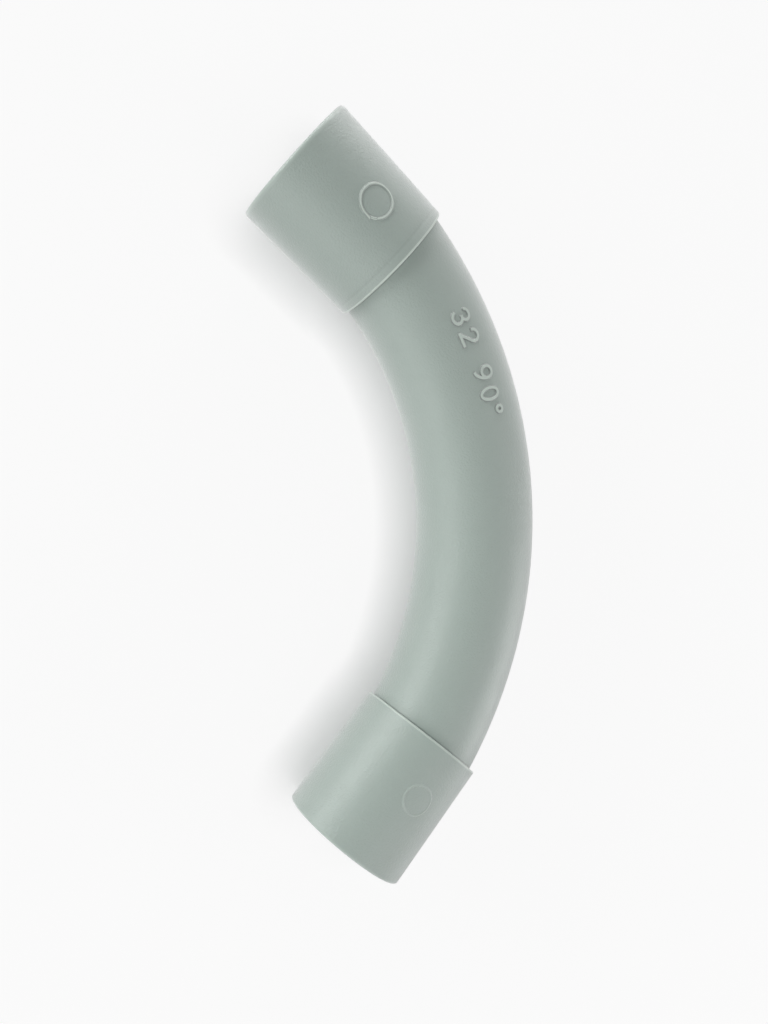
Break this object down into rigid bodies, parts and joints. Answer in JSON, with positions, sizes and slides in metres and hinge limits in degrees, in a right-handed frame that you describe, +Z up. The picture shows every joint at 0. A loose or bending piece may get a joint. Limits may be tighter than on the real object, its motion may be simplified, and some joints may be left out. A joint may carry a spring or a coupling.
{
  "type": "conduit elbow",
  "caption": "Moulded plastic 90 degree elbow for rigid conduit: a curved tube with a straight push-in socket at each end.",
  "frame": {"origin": "under the middle of the elbow as it lies, on the level that its two sockets rest on", "axes": "+Z up, square to the plane of the bend; +X and +Y out of the two sockets, along their bores"},
  "size_m": [0.1426, 0.1426, 0.0358],
  "materials": {
    "grey_plastic": "matte moulded, pale grey-green"
  },
  "bodies": {
    "root": {"elbow": "grey_plastic"}
  },
  "joints": []
}
